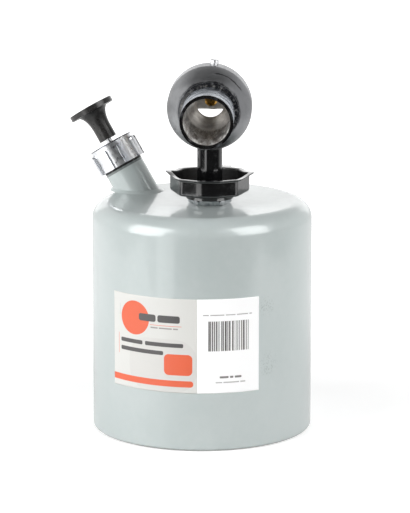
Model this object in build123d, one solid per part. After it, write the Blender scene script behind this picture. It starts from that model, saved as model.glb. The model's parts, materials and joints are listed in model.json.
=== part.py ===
from build123d import *
import os
from math import asin, cos, degrees, pi, radians, sin, sqrt

# A petrol blowlamp: tank, filler neck with pump, preheating cup, burner head and handle.
# Millimetres, +Z up, origin at the middle of the tank's foot. The burner fires along -Y.

# Clearances and cuts
seat_gap = 0.02  # between flat faces of pieces that move against each other
fit_gap = 0.05  # radial, for shafts that run in holes and tubes pushed into holes
loose_gap = 0.3  # between pieces that must never rub
overrun = 6.0  # how far a cut runs past the piece it cuts

# Tank
tank_radius = 70.0
tank_height = 146.7
tank_wall = 0.8
shoulder_radius = 11.4
foot_radius = 2.0  # the outside bend at the foot
foot_ring_width = 4.0  # the flat ring it stands on
bottom_flange_height = 6.0
bottom_corner_radius = 3.0
bottom_dish_rise = 3.0

# Stem, from the tank's top to the burner head
stem_x = 5.25
stem_y = -9.8
stem_radius = 8.0
stem_bore_radius = 4.1
boss_flats = 24.0
boss_height = 3.4
boss_spigot_radius = 10.0
boss_spigot_length = 3.2
stem_nut_flats = 22.0
stem_nut_height = 5.0
cup_washer_radius = 13.0
cup_washer_thickness = 1.0

# Fuel pick-up inside the tank
dip_tube_radius = 4.0
dip_tube_wall = 0.8
dip_tube_reach = 12.0  # how far it reaches up into the stem
strainer_clear = 2.5  # from the tank's bottom plate
strainer_radius = 5.6
strainer_length = 14.0
strainer_wall = 0.8
strainer_overlap = 9.0
wick_length = 120.0

# Preheating cup, eight-sided. Radii are to the corners.
cup_sheet = 0.8
cup_floor_radius = 18.5
cup_wall_radius = 25.3
cup_lip_radius = 28.9
cup_bevel_height = 3.6
cup_wall_height = 8.7
cup_flare_height = 0.9
cup_lip_thickness = 0.7
cup_corner_radius = 3.5
cup_sides = 8

# Burner head, on a level axis above the stem. Stations run along the axis, to the rear.
burner_rise = 61.8  # from the tank's top to the burner's axis
tube_radius = 16.5
tube_wall = 2.0
tube_free_length = 34.5
tube_relief_length = 0.5
tube_seat_radius = 15.9
sleeve_front = -36.0
sleeve_rear = 2.0
sleeve_radius = 18.0
tube_seat_length = 18.0
collar_front = -16.0
collar_radius = 21.0
throat_radius = 8.9
throat_length = 3.0
socket_radius = 10.0
socket_drop = 22.5  # from the burner's axis to the socket's mouth
socket_roof_drop = 14.6  # from the burner's axis to the end of the stem's bore
ring_gallery_inner_radius = 15.2
ring_gallery_outer_radius = 18.2
ring_gallery_front = -9.0
ring_gallery_length = 4.5
arm_offset = (ring_gallery_inner_radius + ring_gallery_outer_radius) / 2
arm_radius = 4.0
arm_gallery_radius = 1.2
air_gap = 15.0  # between the throat's face and the rear flange
flange_radius = 21.0
flange_thickness = 8.0
flange_flat_height = 17.5  # from the burner's axis to the plug's seat
flange_foot_drop = 6.2  # from the burner's axis to the flat under the flange
cross_gallery_radius = 1.0
cross_gallery_depth = 5.5
chamber_radius = 3.5
chamber_start = 3.5  # from the flange's front face
chamber_length = 9.5
guide_length = 3.5
hub_radius = 7.0
hub_length = 15.0
packing_radius = 4.5
packing_length = 3.0

# Shroud, a bell round the burner's rear half
shroud_sheet = 0.9
shroud_radius = 26.7
shroud_neck_length = 2.0
shroud_bell_length = 16.0
shroud_bulge = 0.9  # how far the bell's flank stands out of a straight cone
shroud_skirt_length = 14.0
shroud_notch_clear = 1.0
lug_radius = 4.5
lug_station = -8.0
lug_turn = 6.0  # degrees off the top
shroud_screw_radius = 1.5
shroud_screw_depth = 6.0
shroud_screw_head_radius = 2.7
shroud_screw_head_height = 2.6
slot_width = 0.7
slot_depth = 0.9

# Jet and needle
jet_radius = 3.9
jet_length = 5.0
jet_shank_radius = 2.5
jet_bore_radius = 1.6
jet_orifice_radius = 0.3
jet_nose_length = 1.8
needle_radius = 1.2
needle_tip_radius = 0.25
needle_cone_length = 2.7
needle_clear = 0.8  # from the needle's tip to the orifice
needle_length = 13.2
needle_socket_depth = 8.5

# Cleaning plug
plug_radius = 2.5
plug_length = 10.0
plug_flats = 8.0
plug_head_height = 3.0
plug_gasket_radius = 4.6
plug_gasket_thickness = 0.8
plug_station = 4.0  # from the flange's front face
plug_passage_radius = 1.2

# Regulator
spindle_radius = 2.5
spindle_start = 6.0  # from the flange's front face
spindle_length = 34.0
gland_nut_flats = 14.0
gland_nut_height = 5.0
knob_gap = 1.5  # between gland nut and regulator knob
regulator_knob_radius = 12.0
regulator_knob_thickness = 9.5
regulator_hub_radius = 6.5
regulator_hub_length = 2.5
lobe_count = 6
lobe_cut_radius = 4.0
lobe_cut_depth = 1.8
regulator_edge_round = 1.5
knob_washer_radius = 4.5
knob_washer_thickness = 0.6
knob_screw_radius = 1.45
knob_screw_length = 8.0
knob_screw_head_radius = 2.9
knob_screw_head_height = 2.0

# Filler neck and pump, on a slanting axis. Stations run outwards from the tank's top.
neck_edge_distance = 17.2  # from the tank's wall to the neck's middle
neck_bearing = 144.7  # degrees from +X
pump_tilt = 31.2  # degrees from upright
pump_heading = 16.2  # degrees behind -X
neck_radius = 13.0
neck_wall = 1.5
neck_length = 17.5
bead_width = 2.2
bead_height = 1.8
gasket_radius = 12.9
gasket_inner_radius = 11.7
gasket_thickness = 1.3
cap_radius = 14.5
cap_height = 16.4
cap_roof = 4.0
cap_edge_round = 0.8
cap_spigot_gap = 0.08
cap_spigot_length = 9.8
rib_count = 8
rib_start = 38.7  # degrees
rib_width = 4.0
rib_height = 1.75
rib_length = 13.5
barrel_radius = 8.0
barrel_wall = 0.8
barrel_length = 121.1
rod_radius = 2.0
rod_collar_radius = 3.4
rod_collar_length = 1.8
knob_clear = 2.7  # from the cap to the pump knob
pump_knob_radius = 14.9
pump_knob_disc = 3.4
pump_knob_crown = 0.7
pump_knob_height = 23.8
pump_knob_stem_radius = 5.9
pump_knob_flare_radius = 10.4
pump_knob_flare_height = 13.5
pump_knob_flare_share = 0.8  # how far up the flare its straight run would reach
pump_knob_bore_depth = 18.0
piston_clear = 3.0  # from the piston to the valve body
piston_cup_sheet = 1.5
piston_cup_skirt = 5.5
piston_top_washer_radius = 6.4
piston_top_washer_thickness = 1.2
piston_low_washer_radius = 5.0
piston_low_washer_thickness = 1.0
piston_nut_flats = 7.0
piston_nut_height = 2.8
rod_end_length = 0.8

# Check valve at the barrel's foot
valve_spigot_length = 6.0
valve_body_length = 17.0
valve_inlet_radius = 1.5
valve_inlet_length = 4.0
valve_chamber_radius = 4.0
valve_outlet_radius = 2.0
valve_outlet_length = 2.0
valve_plunger_radius = 3.4
valve_plunger_thickness = 1.5
valve_pad_radius = 3.0
valve_pad_thickness = 1.0
valve_stem_radius = 1.2
valve_stem_length = 3.0
spring_wire_radius = 0.3
spring_radius = 2.2
spring_turns = 5
spring_end_gap = 0.1

# Stickers on the front of the tank, and their place round its wall
label_thickness = 0.2
label_gap = 0.06  # the glue under it
label_low = 37.4
label_height = 60.0
main_label_width = 60.0
side_label_width = 40.0
label_seam_offset = -0.5  # round the wall from the front, towards +X

# Handle
strap_width = 22.0
strap_thickness = 1.8
strap_disc_radius = 15.0
strap_bend_radius = 21.0
strap_leg_clear = 40.0  # from the tank's wall to the leg
strap_foot_rise = 6.0  # from the grip's foot to the leg's end
grip_width = 28.0
grip_depth = 26.0
grip_drop = 16.7  # from the tank's top to the grip's top
grip_height = 88.0
grip_corner_radius = 9.0
grip_end_round = 4.0
finger_count = 4
finger_cut_radius = 15.0
finger_cut_depth = 2.0
grip_screw_count = 2
grip_screw_edge = 16.0  # from the grip's ends to its screws
grip_screw_radius = 2.0
grip_screw_head_radius = 3.6
grip_screw_head_height = 2.4
grip_recess_depth = 3.2
grip_nut_flats = 7.0
grip_nut_height = 3.0


def put(node, shape):
    """Writes one node's solids to its own file."""
    solids = shape.solids()
    print(node, "solids", len(solids), "volume", round(sum(s.volume for s in solids), 1))
    export_step(shape, os.path.join("parts", node + ".step"))


def rod(radius, low, high):
    """A round bar along local Z, from one height to another."""
    return Pos(0, 0, low) * Cylinder(radius, high - low, align=(Align.CENTER, Align.CENTER, Align.MIN))


def pipe(radius, bore, low, high):
    """A round bar with a hole right through."""
    return rod(radius, low, high) - rod(bore, low - overrun, high + overrun)


def hexagon(flats, low, high):
    """A six-sided bar along local Z with rounded corners top and bottom."""
    bar = Pos(0, 0, low) * extrude(RegularPolygon(flats / 2, 6, major_radius=False), high - low)
    return bar & rod_with_bevels(flats / 2 / cos(radians(30)), low, high)


def rod_with_bevels(radius, low, high):
    """A round bar whose two rims are turned off, as on a nut."""
    bevel = radius * (1 - cos(radians(30)))
    return spun(
        (0, low), (radius - bevel, low), (radius, low + bevel / 2),
        (radius, high - bevel / 2), (radius - bevel, high), (0, high),
    )


def spun(*points):
    """A solid turned about local Z from a closed outline of radius and height pairs."""
    return revolve(make_face(Polyline(*[(r, 0, z) for r, z in points], close=True)), Axis.Z)


def bow(radius_place, height_place, radius, start, end):
    """An arc in the turning plane, by its middle, radius and end angles in degrees."""
    stops = [radians(angle) for angle in (start, (start + end) / 2, end)]
    return ThreePointArc(
        *[(radius_place + radius * cos(stop), 0, height_place + radius * sin(stop)) for stop in stops]
    )


def bulged(start, end, bulge):
    """An arc between two radius and height pairs that stands out to the left of its run."""
    (r0, z0), (r1, z1) = start, end
    share = bulge / sqrt((r1 - r0) ** 2 + (z1 - z0) ** 2)
    middle = ((r0 + r1) / 2 - (z1 - z0) * share, 0, (z0 + z1) / 2 + (r1 - r0) * share)
    return ThreePointArc((r0, 0, z0), middle, (r1, 0, z1))


def line(*points):
    """Straight runs in the turning plane, as radius and height pairs."""
    return Polyline(*[(r, 0, z) for r, z in points])


def turned(*edges):
    """A solid turned about local Z from edges that meet end to end."""
    return revolve(make_face(Curve() + list(edges)), Axis.Z)


# Frames: the stem's, the burner's (local Z to the rear, local Y down) and the pump's
burner_height = tank_height + burner_rise
neck_place = tank_radius - neck_edge_distance
neck_x = neck_place * cos(radians(neck_bearing))
neck_y = neck_place * sin(radians(neck_bearing))
strap_leg_distance = tank_radius + strap_leg_clear + strap_thickness
grip_low = tank_height - grip_drop - grip_height
strap_foot_height = grip_low + strap_foot_rise
stem_frame = Location((stem_x, stem_y, 0))
burner_frame = Plane(origin=(stem_x, 0, burner_height), x_dir=(1, 0, 0), z_dir=(0, 1, 0)).location
pump_lean = sin(radians(pump_tilt))
pump_direction = Vector(
    -pump_lean * cos(radians(pump_heading)), pump_lean * sin(radians(pump_heading)), cos(radians(pump_tilt))
)
pump_across = Vector(
    -cos(radians(pump_tilt)) * cos(radians(pump_heading)),
    cos(radians(pump_tilt)) * sin(radians(pump_heading)),
    -pump_lean,
)
pump_frame = Plane(origin=(neck_x, neck_y, tank_height), x_dir=pump_across, z_dir=pump_direction).location

# Levels up the stem
boss_top = tank_height + boss_height
cup_low = boss_top + strap_thickness
cup_floor_top = cup_low + cup_sheet
cup_rim = cup_low + cup_bevel_height + cup_wall_height + cup_flare_height + cup_lip_thickness
stem_low = tank_height - boss_spigot_length
stem_top = burner_height - socket_roof_drop
bottom_plate_low = foot_radius + bottom_flange_height - tank_wall

# Stations along the burner
tube_front = sleeve_front - tube_free_length - tube_relief_length
tube_rear = sleeve_front + tube_seat_length
tube_inner_radius = tube_radius - tube_wall
shroud_front = sleeve_front
shroud_shoulder = shroud_front + shroud_neck_length + shroud_bell_length
flange_front = sleeve_rear + air_gap
flange_rear = flange_front + flange_thickness
jet_tip = flange_front - jet_length
chamber_front = flange_front + chamber_start
guide_front = chamber_front + chamber_length
packing_front = guide_front + guide_length
gland_front = packing_front + packing_length
hub_rear = flange_rear + hub_length
gland_rear = hub_rear + gland_nut_height
spindle_front = flange_front + spindle_start
spindle_rear = spindle_front + spindle_length
regulator_front = gland_rear + knob_gap
regulator_rear = regulator_front + regulator_hub_length + regulator_knob_thickness
needle_tip = jet_tip + jet_nose_length + needle_clear
plug_place = flange_front + plug_station

# Stations along the pump
gasket_low = neck_length + seat_gap
cap_low = gasket_low + gasket_thickness + seat_gap
cap_top = cap_low + cap_height
neck_bore_radius = neck_radius - neck_wall
barrel_top = cap_top - cap_roof
barrel_low = barrel_top - barrel_length
barrel_bore_radius = barrel_radius - barrel_wall
valve_top = barrel_low + valve_spigot_length
valve_low = valve_top - valve_body_length
piston_low = valve_top + piston_clear
piston_cup_top = piston_low + piston_cup_skirt + piston_cup_sheet
pump_knob_low = cap_top + knob_clear
valve_seat = valve_top - valve_inlet_length
valve_floor = valve_low + valve_outlet_length


def tank_profile(inset):
    """The tank's turned outline, drawn in by a wall's thickness."""
    radius = tank_radius - inset
    top = tank_height - inset
    shoulder = shoulder_radius - inset
    foot = foot_radius - inset
    return turned(
        line((0, inset), (radius - foot, inset)),
        bow(radius - foot, inset + foot, foot, -90, 0),
        line((radius, inset + foot), (radius, top - shoulder)),
        bow(radius - shoulder, top - shoulder, shoulder, 0, 90),
        line((radius - shoulder, top), (0, top), (0, inset)),
    )


def make_tank_shell():
    mouth = rod(tank_radius - foot_radius - foot_ring_width, -overrun, foot_radius)
    boss_hole = rod(boss_spigot_radius + fit_gap, tank_height - overrun, tank_height + overrun)
    neck_hole = pump_frame * rod(neck_bore_radius, -neck_length, neck_length)
    return tank_profile(0) - tank_profile(tank_wall) - mouth - stem_frame * boss_hole - neck_hole


def make_tank_bottom():
    radius = tank_radius - tank_wall - fit_gap
    corner = bottom_corner_radius
    level = bottom_plate_low
    inner_corner = corner - tank_wall
    return turned(
        line((0, level + bottom_dish_rise), (radius - corner, level)),
        bow(radius - corner, level - inner_corner, inner_corner, 90, 0),
        line(
            (radius - tank_wall, level - inner_corner), (radius - tank_wall, foot_radius),
            (radius, foot_radius), (radius, level - inner_corner),
        ),
        bow(radius - corner, level - inner_corner, corner, 0, 90),
        line(
            (radius - corner, level + tank_wall), (0, level + bottom_dish_rise + tank_wall),
            (0, level + bottom_dish_rise),
        ),
    )


def neck_ellipse(width, height):
    """The tilted neck's level section, widened, at a height above the tank's top."""
    slide = height / pump_direction.Z
    place = Vector(neck_x, neck_y, tank_height) + pump_direction * slide
    oval = Ellipse((neck_radius + width) / pump_direction.Z, neck_radius + width)
    return Plane(place) * Rot(0, 0, 180 - pump_heading) * oval


def make_filler_neck():
    wall = pump_frame * rod(neck_radius, -neck_length, neck_length)
    bead = loft([neck_ellipse(bead_width, 0), neck_ellipse(0, bead_height)])
    below = Pos(0, 0, tank_height) * Box(
        4 * tank_radius, 4 * tank_radius, tank_height, align=(Align.CENTER, Align.CENTER, Align.MAX)
    )
    bore = pump_frame * rod(neck_bore_radius, -neck_length - overrun, neck_length + overrun)
    return (wall - below) + bead - bore


def make_stem_boss():
    head = hexagon(boss_flats, tank_height, boss_top)
    spigot = rod(boss_spigot_radius, stem_low, tank_height)
    bore = rod(stem_radius + fit_gap, stem_low - overrun, boss_top + overrun)
    return stem_frame * (head + spigot - bore)


def make_label(start_length, width):
    """A strip of paper round the tank's wall, by its lengths along the wall."""
    low = tank_radius + label_gap
    high = low + label_thickness
    top = label_low + label_height
    face = make_face(
        Polyline((low, 0, label_low), (high, 0, label_low), (high, 0, top), (low, 0, top), close=True)
    )
    strip = revolve(face, Axis.Z, revolution_arc=degrees(width / tank_radius))
    return Rot(0, 0, -90 + degrees(start_length / tank_radius)) * strip


def octagon(radius, height):
    """A level eight-sided outline with rounded corners, one corner on +X."""
    shape = RegularPolygon(radius, cup_sides, major_radius=True)
    rounded = fillet(shape.vertices(), cup_corner_radius)
    return Pos(0, 0, height) * rounded


def stacked_octagons(*levels):
    """A solid with flat facets through eight-sided outlines, by height and radius."""
    return loft([octagon(radius, height) for height, radius in levels], ruled=True)


def make_preheat_cup():
    wall_low = cup_low + cup_bevel_height
    flare_low = wall_low + cup_wall_height
    lip_low = flare_low + cup_flare_height
    outside = stacked_octagons((cup_low, cup_floor_radius), (wall_low, cup_wall_radius))
    outside += stacked_octagons((wall_low, cup_wall_radius), (flare_low, cup_wall_radius))
    outside += stacked_octagons((flare_low, cup_wall_radius), (lip_low, cup_lip_radius))
    outside += stacked_octagons((lip_low, cup_lip_radius), (cup_rim, cup_lip_radius))
    floor_inner = cup_floor_radius - cup_sheet / 2
    wall_inner = cup_wall_radius - cup_sheet
    inside = stacked_octagons((cup_floor_top, floor_inner), (wall_low + cup_sheet / 2, wall_inner))
    inside += stacked_octagons((wall_low + cup_sheet / 2, wall_inner), (lip_low, wall_inner))
    inside += stacked_octagons((lip_low, wall_inner), (cup_rim, cup_lip_radius - cup_sheet))
    hole = rod(stem_radius + fit_gap, cup_low - overrun, cup_rim + overrun)
    return stem_frame * (outside - inside - hole)


def make_stem_washer():
    return stem_frame * pipe(
        cup_washer_radius, stem_radius + fit_gap, cup_floor_top, cup_floor_top + cup_washer_thickness
    )


def make_stem_nut():
    low = cup_floor_top + cup_washer_thickness
    high = low + stem_nut_height
    bore = rod(stem_radius + fit_gap, low - overrun, high + overrun)
    return stem_frame * (hexagon(stem_nut_flats, low, high) - bore)


def make_stem_pipe():
    return stem_frame * pipe(stem_radius, stem_bore_radius, stem_low, stem_top)


def make_dip_tube():
    low = strainer_low + strainer_length - strainer_overlap
    return stem_frame * pipe(
        dip_tube_radius, dip_tube_radius - dip_tube_wall, low, stem_low + dip_tube_reach
    )


def make_wick():
    low = strainer_low + strainer_length - strainer_overlap
    return stem_frame * rod(dip_tube_radius - dip_tube_wall - fit_gap, low, low + wick_length)


def make_strainer():
    high = strainer_low + strainer_length
    bore = rod(dip_tube_radius + fit_gap, strainer_low + strainer_wall, high + overrun)
    return stem_frame * (rod(strainer_radius, strainer_low, high) - bore)


def make_strap():
    top = boss_top + strap_thickness
    rear = strap_leg_distance
    bend = strap_bend_radius
    inner = bend - strap_thickness
    corner_y = rear - bend
    corner_z = top - bend
    slant = sqrt(0.5)
    outline = Curve() + [
        Polyline((0, stem_y, boss_top), (0, stem_y, top), (0, corner_y, top)),
        ThreePointArc(
            (0, corner_y, top), (0, corner_y + bend * slant, corner_z + bend * slant), (0, rear, corner_z)
        ),
        Polyline(
            (0, rear, corner_z), (0, rear, strap_foot_height),
            (0, rear - strap_thickness, strap_foot_height), (0, rear - strap_thickness, corner_z),
        ),
        ThreePointArc(
            (0, rear - strap_thickness, corner_z),
            (0, corner_y + inner * slant, corner_z + inner * slant),
            (0, corner_y, boss_top),
        ),
        Line((0, corner_y, boss_top), (0, stem_y, boss_top)),
    ]
    band = Pos(stem_x, 0, 0) * extrude(make_face(outline), strap_width / 2, dir=(1, 0, 0), both=True)
    disc = stem_frame * rod(strap_disc_radius, boss_top, top)
    hole = stem_frame * rod(stem_radius + fit_gap, boss_top - overrun, top + overrun)
    strap = band + disc - hole
    for height in grip_screw_heights:
        strap -= grip_screw_line(height) * rod(grip_screw_radius + fit_gap, -grip_depth, grip_depth)
    return strap


def grip_screw_line(height):
    """The frame of one grip screw: local Z to the rear, its middle on the strap's leg."""
    return Plane(origin=(stem_x, grip_middle, height), x_dir=(1, 0, 0), z_dir=(0, 1, 0)).location


def make_grip():
    """The two halves of the grip, split along the strap's leg."""
    section = Pos(stem_x, grip_middle) * RectangleRounded(grip_width, grip_depth, grip_corner_radius)
    whole = Pos(0, 0, grip_low) * extrude(section, grip_height)
    ends = whole.faces().group_by(Axis.Z)
    whole = fillet(ends[0].edges() + ends[-1].edges(), grip_end_round)
    front_face = grip_middle - grip_depth / 2
    spacing = grip_height / (finger_count + 1)
    for finger in range(finger_count):
        height = grip_low + spacing * (finger + 1)
        place = Location((stem_x, front_face - finger_cut_radius + finger_cut_depth, height))
        whole -= place * Rot(0, 90, 0) * Cylinder(finger_cut_radius, 2 * grip_width)
    pocket = Box(
        strap_width + 2 * fit_gap, strap_thickness + 2 * fit_gap, tank_height,
        align=(Align.CENTER, Align.CENTER, Align.MIN),
    )
    whole -= Location((stem_x, grip_middle, strap_foot_height - fit_gap)) * pocket
    for height in grip_screw_heights:
        frame = grip_screw_line(height)
        half = grip_depth / 2
        whole -= frame * rod(grip_screw_radius + fit_gap, -half - overrun, half + overrun)
        whole -= frame * rod(grip_screw_head_radius + loose_gap, half - grip_recess_depth, half + overrun)
        seat = -half + finger_cut_depth + grip_recess_depth
        whole -= frame * hexagon(grip_nut_flats + 2 * fit_gap, -half - overrun, seat)
    half_space = Box(
        2 * grip_width, grip_depth, 2 * grip_height, align=(Align.CENTER, Align.MAX, Align.CENTER)
    )
    middle = Location((stem_x, grip_middle, grip_low + grip_height / 2))
    front = whole & (middle * half_space)
    back = whole - (middle * half_space)
    return front, back


def make_grip_screws():
    half = grip_depth / 2
    seat = half - grip_recess_depth
    tip = -half + finger_cut_depth + seat_gap
    screws = []
    for height in grip_screw_heights:
        head = rod(grip_screw_head_radius, seat, seat + grip_screw_head_height)
        slot = Pos(0, 0, seat + grip_screw_head_height) * Box(2 * grip_width, slot_width, 2 * slot_depth)
        screws.append(grip_screw_line(height) * (rod(grip_screw_radius, tip, seat) + head - slot))
    return Compound(screws)


def make_grip_nuts():
    half = grip_depth / 2
    seat = -half + finger_cut_depth + grip_recess_depth
    nuts = []
    for height in grip_screw_heights:
        bore = rod(grip_screw_radius + fit_gap, -half - overrun, seat + overrun)
        nut = hexagon(grip_nut_flats, seat - grip_nut_height, seat) - bore
        nuts.append(grip_screw_line(height) * nut)
    return Compound(nuts)


def make_evaporator_body():
    seat_radius = tube_seat_radius + fit_gap
    outside = spun(
        (0, sleeve_front), (sleeve_radius, sleeve_front), (sleeve_radius, collar_front),
        (collar_radius, collar_front), (collar_radius, sleeve_rear), (0, sleeve_rear),
    )
    stem_station = Location((0, 0, stem_y))
    socket = stem_station * Rot(90, 0, 0) * rod(socket_radius, -socket_drop, 0)
    lug = lug_line() * rod(lug_radius, sleeve_radius, shroud_radius)
    lug &= rod(shroud_radius - shroud_sheet - fit_gap, sleeve_front, sleeve_rear)
    body = outside + socket + lug
    inside = spun(
        (0, sleeve_front - overrun), (seat_radius, sleeve_front - overrun), (seat_radius, tube_rear),
        (tube_inner_radius, tube_rear), (throat_radius, sleeve_rear - throat_length),
        (throat_radius, sleeve_rear + overrun), (0, sleeve_rear + overrun),
    )
    body -= inside
    body -= pipe(
        ring_gallery_outer_radius, ring_gallery_inner_radius,
        ring_gallery_front, ring_gallery_front + ring_gallery_length,
    )
    body -= stem_station * Rot(90, 0, 0) * rod(
        stem_radius + fit_gap, -socket_drop - overrun, -socket_roof_drop
    )
    body -= lug_line() * rod(
        shroud_screw_radius + fit_gap, shroud_radius - shroud_sheet - shroud_screw_depth, shroud_radius
    )
    flange = rod(flange_radius, flange_front, flange_rear)
    for flat, past in ((-flange_flat_height, Align.MAX), (flange_foot_drop, Align.MIN)):
        flange -= Location((0, flat, flange_front)) * Box(
            2 * flange_radius, flange_radius, 2 * flange_thickness + overrun,
            align=(Align.CENTER, past, Align.CENTER),
        )
    flange += rod(hub_radius, flange_rear, hub_rear)
    for side in (-1, 1):
        flange += Pos(side * arm_offset, 0, 0) * rod(arm_radius, sleeve_rear, flange_front)
    body += flange
    cross_station = flange_front + cross_gallery_depth
    gallery_front = ring_gallery_front + ring_gallery_length / 2
    for side in (-1, 1):
        body -= Pos(side * arm_offset, 0, 0) * rod(
            arm_gallery_radius, gallery_front, cross_station + 2 * arm_gallery_radius
        )
    body -= Location((0, 0, cross_station)) * Rot(0, 90, 0) * rod(
        cross_gallery_radius, -arm_offset, arm_offset
    )
    body -= rod(jet_shank_radius + fit_gap, flange_front - overrun, chamber_front)
    body -= rod(chamber_radius, chamber_front, guide_front)
    body -= rod(spindle_radius + fit_gap, chamber_front, hub_rear)
    body -= rod(packing_radius, packing_front, hub_rear + overrun)
    plug_line = Location((0, 0, plug_place)) * Rot(90, 0, 0)
    body -= plug_line * rod(
        plug_radius + fit_gap, flange_flat_height - plug_length, flange_flat_height + overrun
    )
    body -= plug_line * rod(plug_passage_radius, 0, flange_flat_height)
    return burner_frame * body


def make_burner_tube():
    shoulder = sleeve_front - tube_relief_length
    tube = rod(tube_radius, tube_front, shoulder) + rod(tube_seat_radius, shoulder, tube_rear)
    return burner_frame * (tube - rod(tube_inner_radius, tube_front - overrun, tube_rear + overrun))


def make_shroud():
    inner_neck = sleeve_radius + fit_gap
    outer_neck = inner_neck + shroud_sheet
    rear = shroud_shoulder + shroud_skirt_length
    neck_rear = shroud_front + shroud_neck_length
    inner_skirt = shroud_radius - shroud_sheet
    shell = turned(
        line((inner_neck, shroud_front), (outer_neck, shroud_front), (outer_neck, neck_rear)),
        bulged((outer_neck, neck_rear), (shroud_radius, shroud_shoulder), -shroud_bulge),
        line(
            (shroud_radius, shroud_shoulder), (shroud_radius, rear),
            (inner_skirt, rear), (inner_skirt, shroud_shoulder),
        ),
        bulged((inner_skirt, shroud_shoulder), (inner_neck, neck_rear), shroud_bulge),
        line((inner_neck, neck_rear), (inner_neck, shroud_front)),
    )
    notch_radius = stem_radius + shroud_notch_clear
    notch = Location((0, 0, stem_y)) * Rot(90, 0, 0) * rod(notch_radius, -shroud_radius - overrun, 0)
    notch += Location((0, 0, stem_y)) * Box(
        2 * notch_radius, shroud_radius + overrun, rear - stem_y + overrun,
        align=(Align.CENTER, Align.MIN, Align.MIN),
    )
    screw_hole = lug_line() * rod(shroud_screw_radius + fit_gap, 0, shroud_radius + overrun)
    return burner_frame * (shell - notch - screw_hole)


def lug_line():
    """The shroud screw's frame inside the burner's: local Z out through the bell's top."""
    return Rot(0, 0, lug_turn) * Location((0, 0, lug_station)) * Rot(90, 0, 0)


def make_shroud_screw():
    seat = shroud_radius
    tip = shroud_radius - shroud_sheet - shroud_screw_depth + seat_gap
    head = rod(shroud_screw_head_radius, seat, seat + shroud_screw_head_height)
    head = fillet(head.edges().group_by(Axis.Z)[-1], slot_depth / 2)
    slot = Pos(0, 0, seat + shroud_screw_head_height) * Box(2 * collar_radius, slot_width, 2 * slot_depth)
    return burner_frame * lug_line() * (rod(shroud_screw_radius, tip, seat) + head - slot)


def make_jet():
    nose = jet_tip + jet_nose_length
    body = rod(jet_radius, jet_tip, flange_front) + rod(jet_shank_radius, flange_front, chamber_front)
    body = chamfer(body.edges().group_by(Axis.Z)[0], jet_nose_length / 2)
    bores = rod(jet_orifice_radius, jet_tip - overrun, nose + seat_gap)
    bores += rod(jet_bore_radius, nose, chamber_front + overrun)
    return burner_frame * (body - bores)


def make_needle():
    cone_end = needle_tip + needle_cone_length
    return burner_frame * spun(
        (0, needle_tip), (needle_tip_radius, needle_tip), (needle_radius, cone_end),
        (needle_radius, needle_tip + needle_length), (0, needle_tip + needle_length),
    )


def make_plug():
    low = flange_flat_height - plug_length + seat_gap
    seat = flange_flat_height + plug_gasket_thickness
    shape = rod(plug_radius, low, seat) + hexagon(plug_flats, seat, seat + plug_head_height)
    return burner_frame * Location((0, 0, plug_place)) * Rot(90, 0, 0) * shape


def make_plug_gasket():
    shape = pipe(
        plug_gasket_radius, plug_radius + fit_gap,
        flange_flat_height, flange_flat_height + plug_gasket_thickness,
    )
    return burner_frame * Location((0, 0, plug_place)) * Rot(90, 0, 0) * shape


def make_gland_packing():
    return burner_frame * pipe(
        packing_radius - fit_gap, spindle_radius + fit_gap, packing_front, gland_front
    )


def make_gland_nut():
    head = hexagon(gland_nut_flats, hub_rear, gland_rear)
    spigot = rod(packing_radius - fit_gap, gland_front, hub_rear)
    bore = rod(spindle_radius + fit_gap, gland_front - overrun, gland_rear + overrun)
    return burner_frame * (head + spigot - bore)


def make_spindle():
    needle_socket = rod(
        needle_radius + fit_gap, spindle_front - overrun, spindle_front + needle_socket_depth
    )
    screw_hole = rod(
        knob_screw_radius + fit_gap, spindle_rear - knob_screw_length - seat_gap, spindle_rear + overrun
    )
    return burner_frame * (rod(spindle_radius, spindle_front, spindle_rear) - needle_socket - screw_hole)


def make_regulator_knob():
    disc_front = regulator_front + regulator_hub_length
    disc = rod(regulator_knob_radius, disc_front, regulator_rear)
    cut_place = regulator_knob_radius + lobe_cut_radius - lobe_cut_depth
    for lobe in range(lobe_count):
        cut = rod(lobe_cut_radius, disc_front - overrun, regulator_rear + overrun)
        disc -= Rot(0, 0, 360 * lobe / lobe_count) * Pos(cut_place, 0, 0) * cut
    rims = disc.edges().group_by(Axis.Z)
    disc = fillet(rims[0] + rims[-1], regulator_edge_round)
    hub = rod(regulator_hub_radius, regulator_front, disc_front)
    bore = rod(spindle_radius + fit_gap, regulator_front - overrun, regulator_rear + overrun)
    return burner_frame * (disc + hub - bore)


def make_knob_washer():
    low = regulator_rear
    return burner_frame * pipe(
        knob_washer_radius, knob_screw_radius + fit_gap, low, low + knob_washer_thickness
    )


def make_knob_screw():
    seat = regulator_rear + knob_washer_thickness
    tip = spindle_rear - knob_screw_length
    head = rod(knob_screw_head_radius, seat, seat + knob_screw_head_height)
    slot = Pos(0, 0, seat + knob_screw_head_height) * Box(
        2 * regulator_knob_radius, slot_width, 2 * slot_depth
    )
    return burner_frame * (rod(knob_screw_radius, tip, seat) + head - slot)


def make_cap_gasket():
    return pump_frame * pipe(gasket_radius, gasket_inner_radius, gasket_low, gasket_low + gasket_thickness)


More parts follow.
